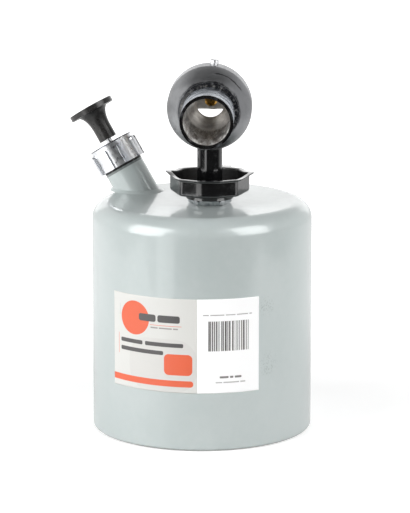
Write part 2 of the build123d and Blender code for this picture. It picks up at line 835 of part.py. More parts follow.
def make_filler_cap():
    body = rod(cap_radius, cap_low, cap_top)
    body = fillet(body.edges().group_by(Axis.Z)[-1], cap_edge_round)
    spigot_radius = neck_bore_radius - cap_spigot_gap
    body += rod(spigot_radius, cap_low - cap_spigot_length, cap_low)
    rib = extrude(
        Plane(origin=(0, 0, cap_low), x_dir=(0, 0, 1), z_dir=(1, 0, 0))
        * SlotOverall(2 * rib_length, rib_width),
        cap_radius + rib_height,
    )
    ribs = [Rot(0, 0, rib_start + 360 * turn / rib_count) * rib for turn in range(rib_count)]
    grip_zone = rod(cap_radius + rib_height, cap_low, cap_top)
    for one in ribs:
        body += one & grip_zone
    body -= rod(barrel_radius + fit_gap, cap_low - cap_spigot_length - overrun, barrel_top + seat_gap)
    body -= rod(rod_radius + fit_gap, barrel_top, cap_top + overrun)
    return pump_frame * body


def make_pump_barrel():
    return pump_frame * pipe(barrel_radius, barrel_bore_radius, barrel_low, barrel_top)


def make_valve_body():
    spigot = rod(barrel_bore_radius - fit_gap, barrel_low, valve_top)
    body = spigot + rod(barrel_radius, valve_low, barrel_low)
    body -= rod(valve_inlet_radius, valve_seat, valve_top + overrun)
    body -= rod(valve_chamber_radius, valve_floor, valve_seat)
    body -= rod(valve_outlet_radius, valve_low - overrun, valve_floor)
    return pump_frame * body


def make_valve_pad():
    top = valve_seat - seat_gap
    return pump_frame * rod(valve_pad_radius, top - valve_pad_thickness, top)


def make_valve_plunger():
    top = valve_seat - seat_gap - valve_pad_thickness
    low = top - valve_plunger_thickness
    return pump_frame * (
        rod(valve_plunger_radius, low, top) + rod(valve_stem_radius, low - valve_stem_length, low)
    )


def make_valve_spring():
    plunger_low = valve_seat - seat_gap - valve_pad_thickness - valve_plunger_thickness
    low = valve_floor + spring_wire_radius + spring_end_gap
    high = plunger_low - spring_wire_radius - spring_end_gap
    path = Helix((high - low) / spring_turns, high - low, spring_radius)
    wire = sweep(Plane(origin=path @ 0, z_dir=path % 0) * Circle(spring_wire_radius), path, is_frenet=True)
    length = sqrt((2 * pi * spring_radius * spring_turns) ** 2 + (high - low) ** 2)
    share = wire.volume / (pi * spring_wire_radius**2 * length)
    print("spring volume over section times length", round(share, 3))
    print("spring gap between turns", round((high - low) / spring_turns - 2 * spring_wire_radius, 2))
    return pump_frame * Pos(0, 0, low) * wire


def make_pump_rod():
    collar_low = piston_cup_top + piston_top_washer_thickness
    nut_low = piston_low_washer_low - piston_nut_height
    bar = rod(rod_radius, nut_low - rod_end_length, pump_knob_low + pump_knob_bore_depth)
    return pump_frame * (bar + rod(rod_collar_radius, collar_low, collar_low + rod_collar_length))


def make_piston_cup():
    radius = barrel_bore_radius - fit_gap
    skirt_bore = radius - piston_cup_sheet
    disc_low = piston_cup_top - piston_cup_sheet
    cup = pipe(radius, rod_radius + fit_gap, piston_low, piston_cup_top)
    return pump_frame * (cup - rod(skirt_bore, piston_low - overrun, disc_low))


def make_piston_washers():
    bore = rod_radius + fit_gap
    upper = pipe(
        piston_top_washer_radius, bore, piston_cup_top, piston_cup_top + piston_top_washer_thickness
    )
    lower = pipe(
        piston_low_washer_radius, bore,
        piston_low_washer_low, piston_low_washer_low + piston_low_washer_thickness,
    )
    return Compound([pump_frame * upper, pump_frame * lower])


def make_piston_nut():
    low = piston_low_washer_low - piston_nut_height
    bore = rod(rod_radius + fit_gap, low - overrun, piston_low_washer_low + overrun)
    return pump_frame * (hexagon(piston_nut_flats, low, piston_low_washer_low) - bore)


def make_pump_knob():
    low = pump_knob_low
    high = low + pump_knob_height
    disc_low = high - pump_knob_disc
    flare_low = disc_low - pump_knob_flare_height
    rim = pump_knob_radius
    crown = high + pump_knob_crown
    crown_radius = (rim**2 + pump_knob_crown**2) / (2 * pump_knob_crown)
    crown_angle = degrees(asin(rim / crown_radius))
    flare = Bezier(
        (pump_knob_stem_radius, 0, flare_low),
        (pump_knob_stem_radius, 0, flare_low + pump_knob_flare_height * pump_knob_flare_share),
        (pump_knob_flare_radius, 0, disc_low),
    )
    knob = turned(
        line((0, low), (pump_knob_stem_radius, low), (pump_knob_stem_radius, flare_low)),
        flare,
        line((pump_knob_flare_radius, disc_low), (rim, disc_low), (rim, high)),
        bow(0, crown - crown_radius, crown_radius, 90 - crown_angle, 90),
        line((0, crown), (0, low)),
    )
    return pump_frame * (knob - rod(rod_radius + fit_gap, low - overrun, low + pump_knob_bore_depth))


strainer_low = bottom_plate_low + bottom_dish_rise + tank_wall + strainer_clear
grip_middle = strap_leg_distance - strap_thickness / 2
grip_screw_heights = [
    grip_low + grip_screw_edge + turn * (grip_height - 2 * grip_screw_edge) / (grip_screw_count - 1)
    for turn in range(grip_screw_count)
]
piston_low_washer_low = piston_cup_top - piston_cup_sheet - piston_low_washer_thickness

os.makedirs("parts", exist_ok=True)
grip_front, grip_back = make_grip()
put("tank_shell", make_tank_shell())
put("tank_bottom", make_tank_bottom())
put("filler_neck", make_filler_neck())
put("stem_boss", make_stem_boss())
put("main_label", make_label(label_seam_offset - main_label_width, main_label_width))
put("side_label", make_label(label_seam_offset, side_label_width))
put("handle_strap", make_strap())
put("grip_front", grip_front)
put("grip_back", grip_back)
put("grip_screws", make_grip_screws())
put("grip_nuts", make_grip_nuts())
put("preheat_cup", make_preheat_cup())
put("cup_washer", make_stem_washer())
put("stem_nut", make_stem_nut())
put("stem_pipe", make_stem_pipe())
put("dip_tube", make_dip_tube())
put("wick", make_wick())
put("fuel_strainer", make_strainer())
put("evaporator_body", make_evaporator_body())
put("burner_tube", make_burner_tube())
put("shroud", make_shroud())
put("shroud_screw", make_shroud_screw())
put("jet", make_jet())
put("regulator_needle", make_needle())
put("evaporator_plug", make_plug())
put("plug_gasket", make_plug_gasket())
put("gland_packing", make_gland_packing())
put("gland_nut", make_gland_nut())
put("regulator_spindle", make_spindle())
put("regulator_knob", make_regulator_knob())
put("knob_washer", make_knob_washer())
put("knob_screw", make_knob_screw())
put("cap_gasket", make_cap_gasket())
put("filler_cap", make_filler_cap())
put("pump_barrel", make_pump_barrel())
put("barrel_valve_body", make_valve_body())
put("valve_pad", make_valve_pad())
put("valve_plunger", make_valve_plunger())
put("valve_spring", make_valve_spring())
put("pump_rod", make_pump_rod())
put("piston_cup", make_piston_cup())
put("piston_washers", make_piston_washers())
put("piston_nut", make_piston_nut())
put("pump_knob", make_pump_knob())
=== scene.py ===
import json
import math

import bmesh
import bpy
import numpy as np
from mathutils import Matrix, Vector, noise

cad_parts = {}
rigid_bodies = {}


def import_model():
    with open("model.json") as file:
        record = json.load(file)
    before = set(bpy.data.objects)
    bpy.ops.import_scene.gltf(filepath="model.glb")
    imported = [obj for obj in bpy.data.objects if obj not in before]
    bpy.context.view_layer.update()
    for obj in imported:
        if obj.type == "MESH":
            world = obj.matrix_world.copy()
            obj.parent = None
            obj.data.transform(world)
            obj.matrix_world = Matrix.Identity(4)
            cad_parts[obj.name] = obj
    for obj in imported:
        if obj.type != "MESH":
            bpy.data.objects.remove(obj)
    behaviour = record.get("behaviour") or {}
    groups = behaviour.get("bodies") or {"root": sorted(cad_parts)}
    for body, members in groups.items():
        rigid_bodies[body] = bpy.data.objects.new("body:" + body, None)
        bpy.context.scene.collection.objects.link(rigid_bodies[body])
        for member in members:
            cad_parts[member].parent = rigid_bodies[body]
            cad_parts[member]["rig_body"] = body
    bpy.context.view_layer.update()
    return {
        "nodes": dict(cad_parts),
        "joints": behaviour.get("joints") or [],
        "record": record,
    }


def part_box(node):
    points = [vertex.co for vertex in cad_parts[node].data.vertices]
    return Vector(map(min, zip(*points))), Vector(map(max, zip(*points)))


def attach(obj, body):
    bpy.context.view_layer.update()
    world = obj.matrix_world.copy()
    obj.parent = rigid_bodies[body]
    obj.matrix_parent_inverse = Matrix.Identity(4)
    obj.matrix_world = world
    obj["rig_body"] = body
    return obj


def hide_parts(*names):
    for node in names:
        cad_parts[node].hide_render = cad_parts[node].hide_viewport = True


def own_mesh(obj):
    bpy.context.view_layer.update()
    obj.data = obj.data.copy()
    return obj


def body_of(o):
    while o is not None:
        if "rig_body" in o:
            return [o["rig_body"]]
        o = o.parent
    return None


MM = 0.001

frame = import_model()


# What the frame gives, with sizes and places in millimetres


def box(node):
    """A CAD node's lowest and highest corners at rest."""
    low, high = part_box(node)
    return low / MM, high / MM


slots = {row["node"]: row["material_slot"] for row in frame["record"]["subparts"]}
joints = {row["name"]: row for row in frame["joints"]}

PUMP_AXIS = Vector(joints["cap_turn"]["axis"])  # up, out of the filler neck
NECK_PLACE = Vector(joints["cap_turn"]["pos_m"]) / MM
BURNER_AXIS = Vector(joints["regulator_turn"]["axis"])  # towards the back
BURNER_PLACE = Vector(joints["regulator_turn"]["pos_m"]) / MM

TANK_RADIUS = box("tank_shell")[1].x
tube_low, tube_high = box("burner_tube")
TUBE_RADIUS = (tube_high.x - tube_low.x) / 2
TUBE_MOUTH = tube_low.y
cup_low, cup_high = box("preheat_cup")
CUP_PLACE = Vector(((cup_low.x + cup_high.x) / 2, (cup_low.y + cup_high.y) / 2, cup_low.z))


# The camera, as the photograph was taken: degrees, the photograph's pixels and millimetres

AZIMUTH = 2.0
ELEVATION = 12.2
FOCAL_PIXELS = 3000.0
FRAME_PIXELS = 513.0  # the longer side
DISTANCE = 1917.8
AIM_HEIGHT = 109.5
AIM_SIDE = 1.9  # to the right of the tank's axis
SENSOR = 36.0
CLIP_METRES = (0.05, 60)


def direction(azimuth, elevation):
    """The way to an azimuth as the views count it, where 0 is the front and 90 the right."""
    turn, rise = math.radians(azimuth), math.radians(elevation)
    return Vector((math.sin(turn) * math.cos(rise), -math.cos(turn) * math.cos(rise), math.sin(rise)))


def look_from(thing, way, distance, target):
    """Puts a camera or a lamp at a distance from its target, facing it."""
    thing.location = target + way * distance
    thing.rotation_euler = (-way).to_track_quat("-Z", "Y").to_euler()
    bpy.context.scene.collection.objects.link(thing)


def make_camera():
    data = bpy.data.cameras.new("camera")
    data.sensor_width = SENSOR
    data.lens = FOCAL_PIXELS * SENSOR / FRAME_PIXELS
    data.clip_start, data.clip_end = CLIP_METRES
    camera = bpy.data.objects.new("camera", data)
    target = Vector((0, 0, AIM_HEIGHT)) + direction(AZIMUTH + 90, 0) * AIM_SIDE
    look_from(camera, direction(AZIMUTH, ELEVATION), DISTANCE * MM, target * MM)
    bpy.context.scene.camera = camera


make_camera()


# Materials, whose places are millimetres on the piece at rest

CLOUD = (0.3, 0.7)  # the values of a noise between which a tone or a gloss drifts
PATCH = (0.35, 0.65)  # the same, for patches that stand out a little more
MIX_SOCKETS = {"FLOAT": (2, 3, 0), "RGBA": (6, 7, 2)}  # a Mix node's two inputs and its output, by kind


def tone(red, green, blue):
    """A colour as a screen shows it, 0 to 255, for a shader, by the screen's own curve."""
    shares = [value / 255 for value in (red, green, blue)]
    return (*[s / 12.92 if s <= 0.04045 else ((s + 0.055) / 1.055) ** 2.4 for s in shares], 1)


class Wiring:
    """Short calls that add nodes to one node tree, which is emptied first."""

    def __init__(self, tree):
        self.tree = tree
        tree.nodes.clear()

    def feed(self, socket, value):
        """Links a socket to another node's output, or gives it a plain value."""
        if isinstance(value, bpy.types.NodeSocket):
            self.tree.links.new(value, socket)
        else:
            socket.default_value = value

    def add(self, kind, *values, **settings):
        """A node with its settings made and its first sockets fed in their order."""
        node = self.tree.nodes.new(kind)
        for key, value in settings.items():
            setattr(node, key, value)
        for socket, value in zip(node.inputs, values):
            self.feed(socket, value)
        return node

    def math(self, operation, *values):
        """A number worked out from others."""
        return self.add("ShaderNodeMath", *values, operation=operation).outputs[0]

    def vector(self, operation, *values):
        """A vector worked out from others, or their number where the operation gives one."""
        node = self.add("ShaderNodeVectorMath", *values, operation=operation)
        return node.outputs["Value" if operation in ("DOT_PRODUCT", "LENGTH", "DISTANCE") else "Vector"]

    def scaled(self, vector, scale):
        """A vector times a plain number."""
        node = self.add("ShaderNodeVectorMath", vector, operation="SCALE")
        self.feed(node.inputs["Scale"], scale)
        return node.outputs["Vector"]

    def split(self, vector):
        """The X, Y and Z of a vector."""
        return self.add("ShaderNodeSeparateXYZ", vector).outputs

    def level(self, value, low, high, start=0.0, end=1.0, way="SMOOTHSTEP"):
        """start below low, end above high, and a smooth run between."""
        node = self.add("ShaderNodeMapRange", value, low, high, start, end, interpolation_type=way)
        return node.outputs[0]

    def below(self, value, low, high):
        """1 below low, 0 above high, and a smooth run between."""
        return self.level(value, low, high, start=1.0, end=0.0)

    def both(self, first, second):
        """1 only where two masks are 1."""
        return self.math("MULTIPLY", first, second)

    def rest(self, share):
        """What a share leaves of 1."""
        return self.math("SUBTRACT", 1.0, share)

    def apart(self, first, second):
        """How far two numbers are apart."""
        return self.math("ABSOLUTE", self.math("SUBTRACT", first, second))

    def choose(self, share, first, second):
        """Of two shaders the first where share is 0, and the second where it is 1."""
        return self.add("ShaderNodeMixShader", share, first, second).outputs[0]


class Paint(Wiring):
    """One procedural material, with the colour and the relief laid on it so far."""

    def __init__(self, name, **settings):
        self.material = bpy.data.materials.new(name)
        self.material.use_nodes = True
        super().__init__(self.material.node_tree)
        self.shader = self.add("ShaderNodeBsdfPrincipled")
        self.output = self.add("ShaderNodeOutputMaterial", self.shader.outputs[0])
        self.source = self.add("ShaderNodeTexCoord")
        self.place = self.scaled(self.source.outputs["Object"], 1 / MM)
        self.colour = None
        self.relief = None
        for key, value in settings.items():
            self.set(key.replace("_", " "), value)

    def set(self, key, value):
        """Sets one socket of the surface, by its name in any capitals."""
        names = {socket.name.lower(): socket for socket in self.shader.inputs}
        self.feed(names[key.lower()], value)

    def noise(self, size, detail=2.0, roughness=0.5, stretch=(1, 1, 1), place=None):
        """Cloudy noise whose features are about size millimetres across."""
        shrink = [share / size for share in stretch]
        where = self.vector("MULTIPLY", self.place if place is None else place, shrink)
        node = self.add("ShaderNodeTexNoise", where)
        for key, value in (("Scale", 1), ("Detail", detail), ("Roughness", roughness)):
            node.inputs[key].default_value = value
        return node.outputs["Fac"]

    def cells(self, size, feature="F1"):
        """The distance from the middle of cells about size millimetres across."""
        node = self.add("ShaderNodeTexVoronoi", self.scaled(self.place, 1 / size), feature=feature)
        node.inputs["Scale"].default_value = 1
        return node.outputs["Distance"]

    def mix(self, share, first, second, kind="RGBA"):
        """A colour between two, by a share from 0 to 1."""
        node = self.add("ShaderNodeMix", share, data_type=kind, clamp_factor=True)
        one, other, result = MIX_SOCKETS[kind]
        self.feed(node.inputs[one], first)
        self.feed(node.inputs[other], second)
        return node.outputs[result]

    def blend(self, share, first, second):
        """A number between two, by a share from 0 to 1."""
        return self.mix(share, first, second, kind="FLOAT")

    def plus(self, value, share, other):
        """A value plus a share of another."""
        return self.math("ADD", value, self.math("MULTIPLY", other, share))

    def clouds(self, cloud, dark, light, span=CLOUD):
        """Starts the colour, which drifts from dark to light with a noise."""
        self.colour = self.mix(self.level(cloud, *span), dark, light)

    def lay(self, mask, colour, strength=1.0):
        """Covers the colour so far with another, as far as mask times strength goes."""
        share = mask if strength == 1.0 else self.math("MULTIPLY", mask, strength)
        self.colour = self.mix(share, self.colour, colour)

    def bump(self, height, depth):
        """Adds to the relief: a height of 0 to 1 stands for depth millimetres."""
        node = self.add("ShaderNodeBump")
        sockets = {"Strength": 1, "Distance": depth * MM, "Height": height}
        if self.relief is not None:
            sockets["Normal"] = self.relief
        for key, value in sockets.items():
            self.feed(node.inputs[key], value)
        self.relief = node.outputs[0]
        self.set("normal", self.relief)

    def turned(self, axis):
        """Places turned so that an axis lies along Z."""
        node = self.add("ShaderNodeVectorRotate", self.place, rotation_type="EULER_XYZ")
        node.inputs["Rotation"].default_value = axis.rotation_difference(Vector((0, 0, 1))).to_euler()
        return node.outputs[0]

    def along(self, axis, origin):
        """How far a place lies along an axis from origin, in millimetres."""
        return self.vector("DOT_PRODUCT", self.vector("SUBTRACT", self.place, origin), axis)

    def away(self, axis, origin):
        """How far a place lies from the line through origin along an axis, in millimetres."""
        reach = self.vector("SUBTRACT", self.place, origin)
        return self.vector("LENGTH", self.vector("CROSS_PRODUCT", reach, axis))

    def done(self, roughness):
        """The material, with the colour laid so far and a roughness that is one number or varies."""
        self.set("base color", self.colour)
        self.set("roughness", roughness)
        return self.material

    def finish(self, cloud, least, most, span=CLOUD):
        """The material, with the colour laid so far and a roughness that drifts with a noise."""
        return self.done(self.level(cloud, *span, least, most))


SMUDGES = (  # right of the stickers: place and reach
    ((42.0, -56.0, 90.0), 8.0),
    ((43.0, -55.2, 53.0), 10.0),
)
SMUDGE_CORE_SHARE = 0.3  # of the reach, over which a smudge is at its strongest
SMUDGE_SPECKS = (0.52, 0.66)  # the values of a noise between which the specks in it grow
FOOT_SHADE = (0.8, 2.2)  # heights between which the painted shade at the foot ends
FOOT_UNEVEN = 1.2  # how far its edge wanders
RIM_WEAR = (15.9, 16.2)  # up the pump's axis, where the wear at the neck's mouth begins and is full
FINE_SHARE = 0.3  # of the paint's cloudiness, what comes from the finer noise


def tank_paint():
    """Pale grey gloss over slightly wavy sheet, with painted shade at the foot and wear at the neck's
    mouth.
    """
    paint = Paint("tank_paint", metallic=0.08, ior=1.5, coat_weight=0.62, coat_roughness=0.06)
    broad = paint.noise(size=45, detail=3)
    fine = paint.noise(size=5, detail=3, roughness=0.6)
    paint.clouds(paint.blend(FINE_SHARE, broad, fine), tone(178, 187, 186), tone(183, 191, 190), PATCH)
    smudges = 0.0
    for place, reach in SMUDGES:
        near = paint.below(paint.vector("DISTANCE", paint.place, place), reach * SMUDGE_CORE_SHARE, reach)
        smudges = paint.math("MAXIMUM", near, smudges)
    specks = paint.level(paint.noise(size=1.1, detail=3, roughness=0.7), *SMUDGE_SPECKS)
    paint.lay(paint.both(smudges, specks), tone(130, 138, 138), strength=0.6)
    # A contact shadow painted as a darker band round the foot
    height = paint.plus(paint.split(paint.place)["Z"], FOOT_UNEVEN, fine)
    paint.lay(paint.below(height, *FOOT_SHADE), tone(104, 100, 94), strength=0.55)
    near_rim = paint.level(paint.along(PUMP_AXIS, NECK_PLACE), *RIM_WEAR)
    paint.lay(near_rim, tone(92, 98, 98), strength=0.8)
    paint.bump(paint.noise(size=26, detail=0, stretch=(1, 1, 0.55)), depth=0.12)
    paint.set("coat normal", paint.relief)
    paint.bump(paint.noise(size=2.4, detail=1), depth=0.008)
    return paint.finish(fine, least=0.30, most=0.38)


def cup_enamel():
    """Shiny black, for the cup and the stem."""
    paint = Paint("gloss_black", ior=1.75, coat_weight=0.3, coat_roughness=0.09)
    fine = paint.noise(size=3.5, detail=4, roughness=0.6)
    paint.clouds(fine, tone(8, 8, 9), tone(14, 14, 15))
    paint.bump(paint.noise(size=9, detail=1), depth=0.025)
    paint.bump(paint.noise(size=1.6), depth=0.004)
    return paint.finish(fine, least=0.09, most=0.16, span=(0.3, 0.75))


def sooty_black():
    """The inside of the cup, where the spirit burns."""
    paint = Paint("sooty_black", ior=1.45)
    cloud = paint.noise(size=4, detail=4, roughness=0.6)
    paint.clouds(cloud, tone(10, 10, 10), tone(20, 19, 18))
    paint.bump(paint.noise(size=0.6, detail=3), depth=0.02)
    return paint.finish(cloud, least=0.55, most=0.75)


def plastic(name, dark, light, least, grain, depth):
    """A dull material with a fine grain, whose size and depth are in millimetres."""
    paint = Paint(name, ior=1.48)
    paint.clouds(paint.noise(size=9, detail=3), dark, light)
    paint.bump(paint.noise(size=grain, detail=2), depth)
    return paint.finish(paint.noise(size=2.5, detail=3), least, most=least + 0.05)


def plain_metal(name, dark, light, least, most):
    """A metal with a cloudy tone, an uneven gloss and fine marks."""
    paint = Paint(name, metallic=1.0)
    cloud = paint.noise(size=6, detail=4, roughness=0.6)
    marks = paint.noise(size=0.8, detail=3, roughness=0.7)
    paint.clouds(cloud, dark, light)
    paint.bump(marks, depth=0.01)
    return paint.finish(paint.blend(0.5, cloud, marks), least, most, PATCH)


CAP_SHADE_LINE = 34.7  # a dark line of painted shade just below the cap's top edge, up the pump's axis
SHADE_LINE_EDGE = (0.15, 0.35)  # how far from its middle the line ends
CAP_PITS = (0.24, 0.36)  # the values of a noise between which the pits end


def cap_aluminium():
    """Pale pitted casting, drawn up the pump's axis, with a line of painted shade below its top edge."""
    paint = Paint("cap_aluminium", metallic=1.0)
    cloud = paint.noise(size=4, detail=4, roughness=0.65)
    even = paint.level(paint.noise(size=0.9, detail=3, roughness=0.7), *CAP_PITS)
    paint.clouds(cloud, tone(226, 228, 231), tone(243, 244, 246))
    paint.lay(paint.rest(even), tone(168, 173, 184))
    # A line of painted shade just below the cap's top edge
    from_shade_line = paint.apart(paint.along(PUMP_AXIS, NECK_PLACE), CAP_SHADE_LINE)
    paint.lay(paint.below(from_shade_line, *SHADE_LINE_EDGE), tone(70, 72, 78))
    paint.bump(paint.noise(size=6, detail=2), depth=0.03)
    drawn = paint.noise(size=1, detail=3, stretch=(1, 1, 0.2), place=paint.turned(PUMP_AXIS))
    paint.bump(drawn, depth=0.008)
    paint.bump(even, depth=0.008)
    return paint.finish(cloud, least=0.26, most=0.38)


BORE_EDGE = (TUBE_RADIUS - 1.3, TUBE_RADIUS - 0.8)  # radii between which bore and outside meet
BORE_STREAKS = (0.40, 0.60)  # the values of a noise between which the bore's streaks grow bright, near white as painted light
BORE_STAINS = (0.50, 0.62)  # and those between which its stains grow dark
STREAK_SHARE = 0.65  # of the wear, the rest being turned rings
MOUTH_BLACK = (TUBE_MOUTH + 1.4, TUBE_MOUTH + 3.8)  # between these the black band at the tube's mouth ends
MOUTH_UNEVEN = 3  # how far its edge wanders
BORE_METALLIC, MOUTH_METALLIC = 0.15, 0.45
BORE_ROUGHNESS = 0.36


def tube_steel():
    """Blue-grey zinc outside, a black mouth, and turned metal with stains inside, whose near-white tone is
    painted light.
    """
    paint = Paint("tube_steel")
    rings = paint.noise(size=1.1, detail=3, roughness=0.6, stretch=(0.12, 1, 0.12))
    streaks = paint.noise(size=2.4, detail=4, roughness=0.7, stretch=(1, 0.12, 1))
    worn = paint.blend(STREAK_SHARE, rings, streaks)
    stain = paint.level(paint.noise(size=4.6, detail=5, roughness=0.68, stretch=(1, 0.35, 1)), *BORE_STAINS)
    cloud = paint.noise(size=7, detail=4, roughness=0.6)
    bore = paint.below(paint.away(BURNER_AXIS, BURNER_PLACE), *BORE_EDGE)
    # The bore's near-white light tone is painted light inside the tube; its streaks and stains are the
    # metal's own
    paint.clouds(worn, tone(138, 132, 128), tone(255, 254, 252), BORE_STREAKS)
    paint.lay(stain, tone(70, 62, 58), strength=0.8)
    painted_lit_bore = paint.colour
    paint.clouds(cloud, tone(158, 165, 175), tone(190, 196, 204), PATCH)
    paint.lay(bore, painted_lit_bore)
    # The tube's mouth is coloured black
    mouth = paint.below(paint.plus(paint.split(paint.place)["Y"], MOUTH_UNEVEN, cloud), *MOUTH_BLACK)
    paint.lay(mouth, tone(16, 15, 16))
    paint.set("metallic", paint.blend(mouth, paint.blend(bore, 1.0, BORE_METALLIC), MOUTH_METALLIC))
    paint.bump(worn, depth=0.05)
    outside_roughness = paint.level(cloud, *CLOUD, start=0.20, end=0.32)
    return paint.done(paint.blend(bore, outside_roughness, BORE_ROUGHNESS))


# Painted shade round the tube's root, where it meets the bell and the casting
PAINTED_SHADE = tone(26, 27, 31)
SHADE_WAY = Vector((0.6, 0, 0.8))  # from the burner's axis to where the painted shade is darkest, above and to the right
SHADE_SPAN = (-14, 8)  # that way, from where it is thin to where it is full
SHADE_THIN_SHARE = 0.25
SHADE_PATCHES = (0.30, 0.52)  # the values of a noise between which its patches grow
SHADE_RADII = (20.0, 21.4)  # from the burner's axis, where it ends on the bell
SHADE_FRONT = (-32, -26)  # along the burner, where it ends on the casting


def root_shade(paint, near):
    """Painted shade round the tube's root; near is 1 where it may lie."""
    side = paint.level(paint.along(SHADE_WAY, BURNER_PLACE), *SHADE_SPAN, start=SHADE_THIN_SHARE)
    patches = paint.level(paint.noise(size=2.4, detail=4, roughness=0.65), *SHADE_PATCHES)
    return paint.both(paint.both(near, side), patches)


def darken(paint, dark):
    """Covers a metal with painted shade where dark is 1, which also makes it half as metallic."""
    paint.lay(dark, PAINTED_SHADE)
    paint.set("metallic", paint.rest(paint.math("MULTIPLY", dark, 0.5)))


CREASE_RADIUS = 24.6  # a crease in the bell's sheet runs round the burner's axis, above and to the right, painted dark as shade
CREASE_WAY = Vector((0.54, 0, 0.84))
CREASE_EDGE = (0.1, 0.45)  # how far from its middle it ends
CREASE_END = (0.88, 0.94)  # the cosines of the turns from CREASE_WAY between which it runs out
RIGHT_SHADE_SPAN = (4, 20)  # to the right of the burner's axis, where the bell grows darker as painted shade
BELL_UNEVEN = 2  # how far the edges of the painted shade at the root and of the crease wander


def bell_steel():
    """Grey sheet with painted shade round the tube's root, a crease painted dark as shade, and a right side
    darkened as painted shade.
    """
    paint = Paint("bell_steel")
    cloud = paint.noise(size=8, detail=4, roughness=0.6)
    marks = paint.noise(size=0.7, detail=3, roughness=0.7, stretch=(1, 0.1, 1))
    radius = paint.away(BURNER_AXIS, BURNER_PLACE)
    uneven_radius = paint.plus(radius, BELL_UNEVEN, cloud)
    from_crease = paint.apart(uneven_radius, CREASE_RADIUS)
    facing = paint.math("DIVIDE", paint.along(CREASE_WAY, BURNER_PLACE), radius)
    crease = paint.both(paint.below(from_crease, *CREASE_EDGE), paint.level(facing, *CREASE_END))
    paint.clouds(cloud, tone(154, 155, 157), tone(168, 169, 171), PATCH)
    # The bell's right side darkened as painted shade
    right_shade = paint.level(paint.along(Vector((1, 0, 0)), BURNER_PLACE), *RIGHT_SHADE_SPAN)
    paint.lay(right_shade, tone(112, 113, 116), strength=0.6)
    # The crease and the tube's root are darkened as painted shade
    darken(paint, paint.math("MAXIMUM", crease, root_shade(paint, paint.below(uneven_radius, *SHADE_RADII))))
    paint.bump(paint.noise(size=11), depth=0.04)
    paint.bump(marks, depth=0.006)
    paint.bump(paint.rest(crease), depth=0.1)
    return paint.finish(marks, least=0.36, most=0.45)


def casting():
    """Sand-cast metal, with painted shade in front where the tube's root is."""
    paint = Paint("casting")
    cloud = paint.noise(size=5, detail=5, roughness=0.65)
    sand = paint.noise(size=0.8, detail=4, roughness=0.7)
    paint.clouds(cloud, tone(164, 161, 158), tone(210, 208, 204))
    darken(paint, root_shade(paint, paint.below(paint.split(paint.place)["Y"], *SHADE_FRONT)))
    paint.bump(sand, depth=0.07)
    return paint.finish(sand, least=0.30, most=0.46)


def hammered_zinc():
    """The boss under the cup, whose flats are silvery and beaten."""
    paint = Paint("boss_zinc", metallic=1.0)
    cloud = paint.noise(size=3, detail=4)
    paint.clouds(cloud, tone(186, 190, 193), tone(232, 234, 236), PATCH)
    paint.bump(paint.cells(size=4.2, feature="SMOOTH_F1"), depth=0.6)
    return paint.finish(cloud, least=0.12, most=0.24)


def leather():
    paint = Paint("leather", ior=1.45)
    cloud = paint.noise(size=3, detail=4)
    paint.clouds(cloud, tone(92, 60, 38), tone(134, 92, 60))
    paint.bump(paint.cells(size=0.7), depth=0.12)
    return paint.finish(cloud, least=0.55, most=0.72)


def cotton():
    paint = Paint("cotton", ior=1.45, sheen_weight=0.3)
    strands = paint.noise(size=0.5, detail=3, stretch=(1, 1, 0.1))
    paint.colour = paint.mix(strands, tone(196, 186, 164), tone(236, 230, 214))
    paint.bump(strands, depth=0.25)
    return paint.done(roughness=0.9)


def graphite():
    paint = Paint("graphite", metallic=0.4)
    cords = paint.noise(size=0.8, detail=3)
    paint.colour = paint.mix(cords, tone(34, 34, 36), tone(74, 74, 78))
    paint.bump(cords, depth=0.2)
    return paint.finish(cords, least=0.40, most=0.60)


# The two stickers' print, in millimetres from each one's lower left corner

UV_SPAN = 100.0  # the millimetres that one unit of a sticker's UV map stands for
PRINT_SOFT = 0.09  # half the width of a printed edge
WORD_CORNER_SHARE = 0.3  # of a bar's height, for its rounded corners

ORANGE = tone(219, 95, 60)
INK = tone(74, 72, 72)

MAIN_TINT = (14, 0, 60, 34, 14)  # left, low, right, high and corner radius
MAIN_AREAS = (  # the same, and ink
    (7.2, 34.6, 28.8, 56.2, 10.79, ORANGE),
    (29.4, 42.2, 50.2, 42.5, 0.0, ORANGE),
    (5.8, 45.6, 6.0, 53.0, 0.0, tone(170, 166, 164)),
    (4.7, 21.0, 5.0, 34.2, 0.0, ORANGE),
    (38.9, 11.2, 57.0, 24.6, 3.0, ORANGE),
    (-2.0, 3.8, 57.6, 7.8, 1.95, ORANGE),
)
MAIN_WORDS = (  # left, low, height, lengths of the bars, gap between them and ink
    (21.4, 44.3, 4.6, (12.0, 14.6), 1.2, INK),
    (29.8, 40.2, 0.9, (5.0, 8.6, 3.2), 0.7, tone(150, 146, 144)),
    (6.8, 28.9, 2.6, (17.2, 25.4), 1.9, INK),
    (6.8, 23.6, 2.6, (31.6,), 1.0, INK),
)
SIDE_WORDS = (
    (3.6, 49.6, 0.6, (3.6, 8.8, 6.2, 7.4, 1.8), 0.9, tone(160, 156, 154)),
    (14.0, 9.6, 1.3, (5.6, 2.2, 4.4), 0.9, tone(120, 116, 114)),
    (11.4, 6.5, 0.8, (4.2, 10.2, 3.4), 0.7, tone(178, 176, 174)),
)
BAR_FIELD = (6.9, 27.0, 33.35, 46.0)  # left, low, right and high
BAR_PITCH = 1.15
BAR_SHARES = (0.26, 0.84)  # of the pitch, the narrowest and the widest bar
BAR_SOFT_SHARE = 0.04  # and half the width of a bar's edge


